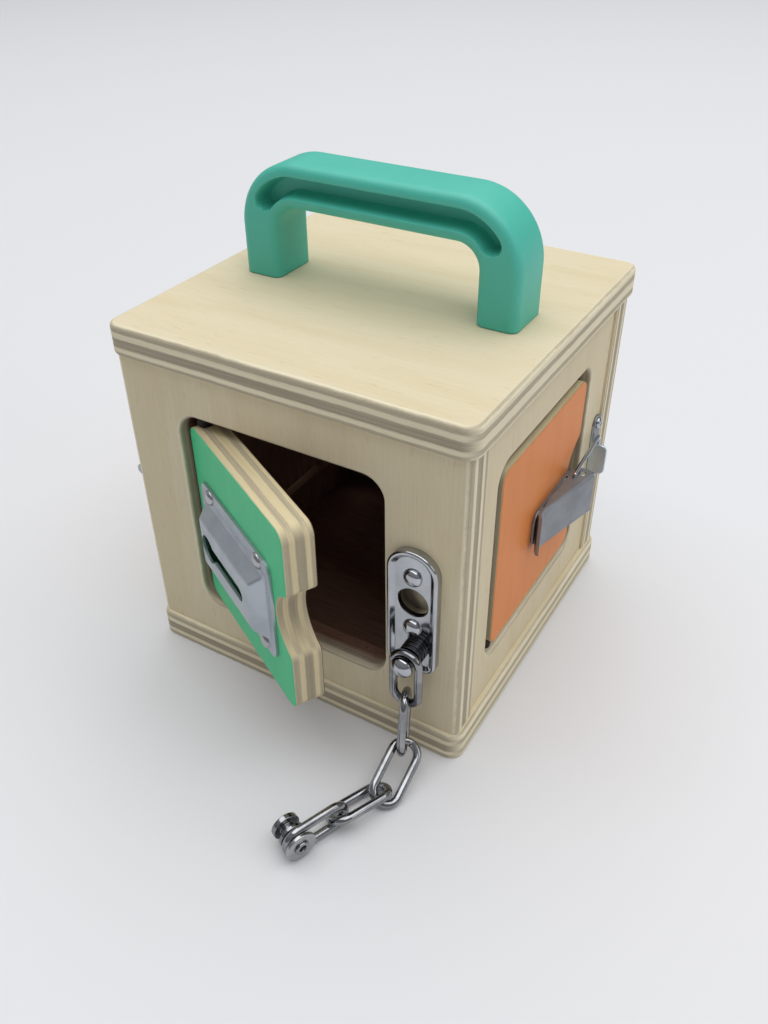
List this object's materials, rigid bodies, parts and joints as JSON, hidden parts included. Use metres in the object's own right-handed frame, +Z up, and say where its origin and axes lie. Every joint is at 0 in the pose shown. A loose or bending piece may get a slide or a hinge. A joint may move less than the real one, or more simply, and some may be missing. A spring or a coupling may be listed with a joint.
{
  "type": "latch lock box",
  "caption": "Toddler's plywood lock box: a carry-handled cube with a hinged door on each side, held by a door chain, draw latch, turn latch and barrel bolt.",
  "frame": {"origin": "middle of the underside of the bottom plate", "axes": "+X to the right seen from the front, +Y from the front to the back, +Z up"},
  "size_m": [0.1796, 0.2414, 0.202],
  "materials": {
    "plywood": "bare sanded birch plywood",
    "green_door": "plywood with a satin green face",
    "orange_door": "plywood with a satin orange face",
    "blue_door": "plywood with a satin blue face",
    "yellow_door": "plywood with a satin yellow face",
    "teal_plastic": "satin moulded plastic",
    "bright_chrome": "polished",
    "dark_chrome": "polished, gunmetal tone",
    "satin_nickel": "satin plated",
    "zinc": "zinc plated",
    "bright_steel": "bright drawn steel",
    "black_plastic": "gloss"
  },
  "bodies": {
    "box": {"bottom_plate": "plywood", "top_plate": "plywood", "front_panel": "plywood", "right_panel": "plywood", "back_panel": "plywood", "left_panel": "plywood", "handle": "teal_plastic", "handle_screws": "bright_steel", "door_hinge_pins": "bright_steel", "door_stops": "plywood", "chain_anchor_plate": "bright_chrome", "chain_anchor_screws": "bright_chrome", "chain_stud": "dark_chrome", "latch_keeper": "zinc", "latch_keeper_screws": "bright_chrome", "turn_latch_base": "satin_nickel", "turn_latch_screws": "bright_chrome", "turn_latch_axle": "bright_steel", "bolt_keeper": "satin_nickel", "bolt_keeper_screws": "bright_chrome"},
    "front_door": {"front_door": "green_door", "chain_track": "satin_nickel", "chain_track_screws": "bright_chrome"},
    "right_door": {"right_door": "orange_door", "latch_base": "zinc", "latch_base_screws": "bright_chrome", "lever_pin": "bright_steel"},
    "latch_lever": {"latch_lever": "zinc"},
    "latch_bail": {"latch_bail": "bright_steel"},
    "back_door": {"back_door": "blue_door", "bolt_housing": "satin_nickel", "bolt_housing_screws": "bright_chrome"},
    "slide_bolt": {"slide_bolt": "bright_steel", "bolt_knob": "black_plastic"},
    "left_door": {"left_door": "yellow_door"},
    "turn_latch": {"turn_latch_arm": "satin_nickel"},
    "chain_link_1": {"chain_link_1": "dark_chrome"},
    "chain_link_2": {"chain_link_2": "dark_chrome"},
    "chain_link_3": {"chain_link_3": "dark_chrome"},
    "chain_link_4": {"chain_link_4": "dark_chrome"},
    "chain_link_5": {"chain_link_5": "dark_chrome"},
    "chain_button": {"chain_button": "dark_chrome", "chain_button_washer": "dark_chrome"}
  },
  "joints": [
    {"name": "front_door_hinge", "type": "hinge", "parent": "box", "child": "front_door", "pos_m": [-0.0395, -0.0698, 0.0775], "axis": [0, 0, -1], "range_deg": [-29, 61]},
    {"name": "right_door_hinge", "type": "hinge", "parent": "box", "child": "right_door", "pos_m": [0.0686, -0.0395, 0.0775], "axis": [0, 0, -1], "range_deg": [0, 90]},
    {"name": "back_door_hinge", "type": "hinge", "parent": "box", "child": "back_door", "pos_m": [0.0395, 0.0698, 0.0775], "axis": [0, 0, -1], "range_deg": [0, 90]},
    {"name": "left_door_hinge", "type": "hinge", "parent": "box", "child": "left_door", "pos_m": [-0.0686, 0.0395, 0.0775], "axis": [0, 0, -1], "range_deg": [0, 90]},
    {"name": "latch_lever_lift", "type": "hinge", "parent": "right_door", "child": "latch_lever", "pos_m": [0.0808, 0.0255, 0.072], "axis": [0, 0, 1], "range_deg": [0, 110]},
    {"name": "latch_bail_lift", "type": "hinge", "parent": "latch_lever", "child": "latch_bail", "pos_m": [0.0788, 0.0215, 0.072], "axis": [0, 0, 1], "range_deg": [-143, 0]},
    {"name": "turn_latch_twist", "type": "hinge", "parent": "box", "child": "turn_latch", "pos_m": [-0.0788, -0.0564, 0.075], "axis": [1, 0, 0], "range_deg": [0, 90]},
    {"name": "bolt_slide", "type": "slide", "parent": "back_door", "child": "slide_bolt", "axis": [-1, 0, 0], "range_m": [0, 0.012]},
    {"name": "chain_1_swing", "type": "hinge", "parent": "box", "child": "chain_link_1", "pos_m": [0.0573, -0.0844, 0.05425], "axis": [0, -0.9976, -0.0698], "range_deg": [-8, 4]},
    {"name": "chain_2_swing", "type": "hinge", "parent": "chain_link_1", "child": "chain_link_2", "pos_m": [0.0573, -0.0844, 0.03245], "axis": [-1, 0, 0], "range_deg": [0, 25]},
    {"name": "chain_3_lift", "type": "hinge", "parent": "chain_link_2", "child": "chain_link_3", "pos_m": [0.05895, -0.08893, 0.01676], "axis": [-0.9397, -0.342, 0], "range_deg": [0, 18]},
    {"name": "chain_4_swivel", "type": "hinge", "parent": "chain_link_3", "child": "chain_link_4", "pos_m": [0.06062, -0.10744, 0.00372], "axis": [0, 0, 1], "range_deg": [-6, 18]},
    {"name": "chain_5_swivel", "type": "hinge", "parent": "chain_link_4", "child": "chain_link_5", "pos_m": [0.05166, -0.12532, 0.00679], "axis": [0, 0, 1], "range_deg": [-2, 18]},
    {"name": "chain_button_spin", "type": "hinge", "parent": "chain_link_5", "child": "chain_button", "pos_m": [0.04505, -0.14238, 0.00752], "axis": [-0.9266, 0.3744, 0.0349], "continuous": true}
  ],
  "couplings": [
    {"joint": "latch_bail_lift", "follows": "latch_lever_lift", "ratio": -1.3}
  ]
}
